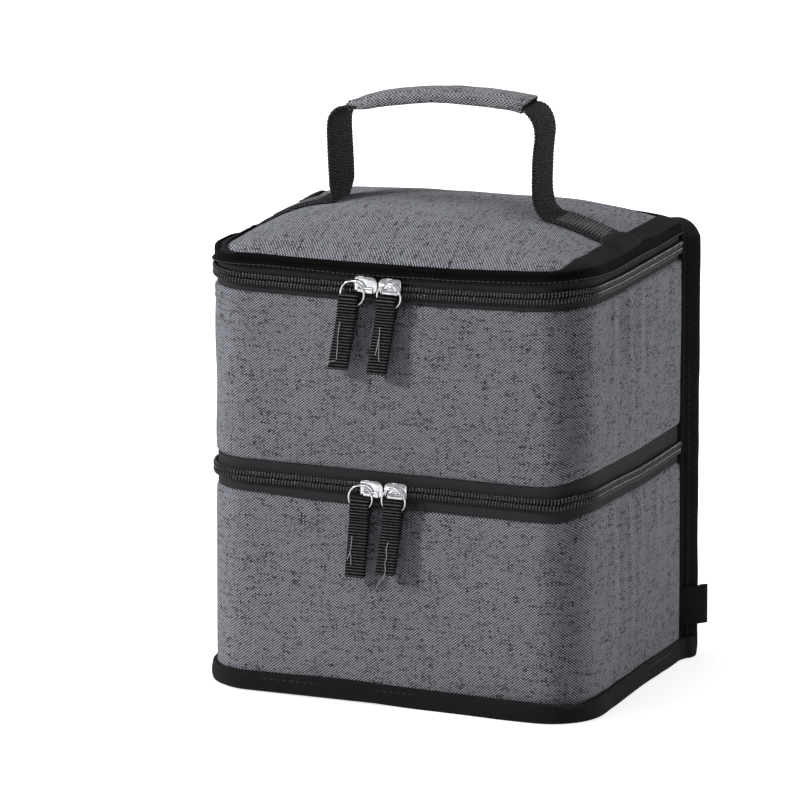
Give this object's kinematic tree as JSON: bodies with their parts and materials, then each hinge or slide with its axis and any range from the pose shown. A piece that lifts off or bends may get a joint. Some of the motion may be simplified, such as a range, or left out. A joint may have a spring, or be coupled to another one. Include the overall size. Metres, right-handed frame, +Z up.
{
  "type": "insulated bag",
  "caption": "Insulated bag of stacked lower and upper compartments that fold open on zips, with a domed lid, hanging zip pulls and a padded webbing handle.",
  "frame": {"origin": "middle of the flat underside that the bag stands on", "axes": "+Z up, -Y towards the front where the zip pulls hang, +Y towards the back where the folds are, +X to the right when facing the front"},
  "size_m": [0.2417, 0.1702, 0.329],
  "materials": {
    "melange_fabric": "matte two-tone grey woven polyester",
    "base_fabric": "matte black coated fabric",
    "black_binding": "matte black woven tape",
    "zip_tape": "matte black twill tape",
    "zip_coil": "glossy black nylon coil",
    "foam": "closed-cell foam",
    "foil_lining": "crinkled silver foil film",
    "chrome": "polished",
    "webbing": "black ribbed webbing",
    "grip_fabric": "grey woven polyester, padded",
    "label": "black woven tab, blank"
  },
  "bodies": {
    "lower_box": {"lower_wall_cover": "melange_fabric", "lower_wall_foam": "foam", "lower_wall_lining": "foil_lining", "lower_back_cover": "melange_fabric", "lower_back_foam": "foam", "lower_back_lining": "foil_lining", "base_cover": "base_fabric", "base_foam": "foam", "base_lining": "foil_lining", "base_binding": "black_binding", "lower_rim_binding": "black_binding", "middle_zip_tape_lower": "zip_tape", "middle_zip_coil_lower": "zip_coil", "lower_back_binding_left": "black_binding", "lower_back_binding_right": "black_binding", "side_label": "label"},
    "upper_box": {"upper_wall_cover": "melange_fabric", "upper_wall_foam": "foam", "upper_wall_lining": "foil_lining", "upper_back_cover": "melange_fabric", "upper_back_foam": "foam", "upper_back_lining": "foil_lining", "floor_lining_under": "foil_lining", "floor_foam": "foam", "floor_lining_top": "foil_lining", "floor_rim_binding": "black_binding", "upper_rim_binding": "black_binding", "middle_zip_tape_upper": "zip_tape", "middle_zip_coil_upper": "zip_coil", "lid_zip_tape_lower": "zip_tape", "lid_zip_coil_lower": "zip_coil", "upper_back_binding_left": "black_binding", "upper_back_binding_right": "black_binding"},
    "lid": {"lid_cover": "melange_fabric", "lid_foam": "foam", "lid_lining": "foil_lining", "lid_pocket": "foil_lining", "lid_pocket_binding": "black_binding", "lid_binding": "black_binding", "lid_back_strip": "melange_fabric", "lid_back_binding": "black_binding", "lid_zip_tape_upper": "zip_tape", "lid_zip_coil_upper": "zip_coil", "handle_anchor_left": "webbing", "handle_anchor_right": "webbing"},
    "handle": {"handle_strap": "webbing", "handle_grip": "grip_fabric"},
    "lid_zip_left_slider": {"lid_zip_left_slider": "chrome"},
    "lid_zip_left_ring": {"lid_zip_left_ring": "chrome"},
    "lid_zip_left_pull": {"lid_zip_left_pull": "webbing"},
    "lid_zip_right_slider": {"lid_zip_right_slider": "chrome"},
    "lid_zip_right_ring": {"lid_zip_right_ring": "chrome"},
    "lid_zip_right_pull": {"lid_zip_right_pull": "webbing"},
    "middle_zip_left_slider": {"middle_zip_left_slider": "chrome"},
    "middle_zip_left_ring": {"middle_zip_left_ring": "chrome"},
    "middle_zip_left_pull": {"middle_zip_left_pull": "webbing"},
    "middle_zip_right_slider": {"middle_zip_right_slider": "chrome"},
    "middle_zip_right_ring": {"middle_zip_right_ring": "chrome"},
    "middle_zip_right_pull": {"middle_zip_right_pull": "webbing"}
  },
  "joints": [
    {"name": "middle_fold", "type": "hinge", "parent": "lower_box", "child": "upper_box", "pos_m": [0, 0.075, 0.121], "axis": [-1, 0, 0], "range_deg": [0, 90]},
    {"name": "lid_fold", "type": "hinge", "parent": "upper_box", "child": "lid", "pos_m": [0, 0.075, 0.234], "axis": [-1, 0, 0], "range_deg": [0, 110]},
    {"name": "handle_fold", "type": "hinge", "parent": "lid", "child": "handle", "pos_m": [0, 0, 0.27797], "axis": [1, 0, 0], "range_deg": [-75, 75], "stiffness_Nm_per_rad": 0.06},
    {"name": "lid_zip_left_slide", "type": "slide", "parent": "upper_box", "child": "lid_zip_left_slider", "axis": [-1, 0, 0], "range_m": [0, 0.066]},
    {"name": "lid_zip_left_ring_swing", "type": "hinge", "parent": "lid_zip_left_slider", "child": "lid_zip_left_ring", "pos_m": [-0.016, -0.08075, 0.235], "axis": [-1, 0, 0], "range_deg": [0, 75]},
    {"name": "lid_zip_left_pull_swing", "type": "hinge", "parent": "lid_zip_left_ring", "child": "lid_zip_left_pull", "pos_m": [-0.016, -0.08075, 0.2233], "axis": [-1, 0, 0], "range_deg": [-4, 18]},
    {"name": "lid_zip_right_slide", "type": "slide", "parent": "upper_box", "child": "lid_zip_right_slider", "axis": [1, 0, 0], "range_m": [0, 0.075]},
    {"name": "lid_zip_right_ring_swing", "type": "hinge", "parent": "lid_zip_right_slider", "child": "lid_zip_right_ring", "pos_m": [0.0038, -0.08075, 0.235], "axis": [-1, 0, 0], "range_deg": [0, 75]},
    {"name": "lid_zip_right_pull_swing", "type": "hinge", "parent": "lid_zip_right_ring", "child": "lid_zip_right_pull", "pos_m": [0.0038, -0.08075, 0.2233], "axis": [-1, 0, 0], "range_deg": [-4, 18]},
    {"name": "middle_zip_left_slide", "type": "slide", "parent": "lower_box", "child": "middle_zip_left_slider", "axis": [-1, 0, 0], "range_m": [0, 0.07]},
    {"name": "middle_zip_left_ring_swing", "type": "hinge", "parent": "middle_zip_left_slider", "child": "middle_zip_left_ring", "pos_m": [-0.0125, -0.08075, 0.122], "axis": [-1, 0, 0], "range_deg": [0, 75]},
    {"name": "middle_zip_left_pull_swing", "type": "hinge", "parent": "middle_zip_left_ring", "child": "middle_zip_left_pull", "pos_m": [-0.0125, -0.08075, 0.1103], "axis": [-1, 0, 0], "range_deg": [-4, 18]},
    {"name": "middle_zip_right_slide", "type": "slide", "parent": "lower_box", "child": "middle_zip_right_slider", "axis": [1, 0, 0], "range_m": [0, 0.0715]},
    {"name": "middle_zip_right_ring_swing", "type": "hinge", "parent": "middle_zip_right_slider", "child": "middle_zip_right_ring", "pos_m": [0.0059, -0.08075, 0.122], "axis": [-1, 0, 0], "range_deg": [0, 75]},
    {"name": "middle_zip_right_pull_swing", "type": "hinge", "parent": "middle_zip_right_ring", "child": "middle_zip_right_pull", "pos_m": [0.0059, -0.08075, 0.1103], "axis": [-1, 0, 0], "range_deg": [-4, 18]}
  ]
}
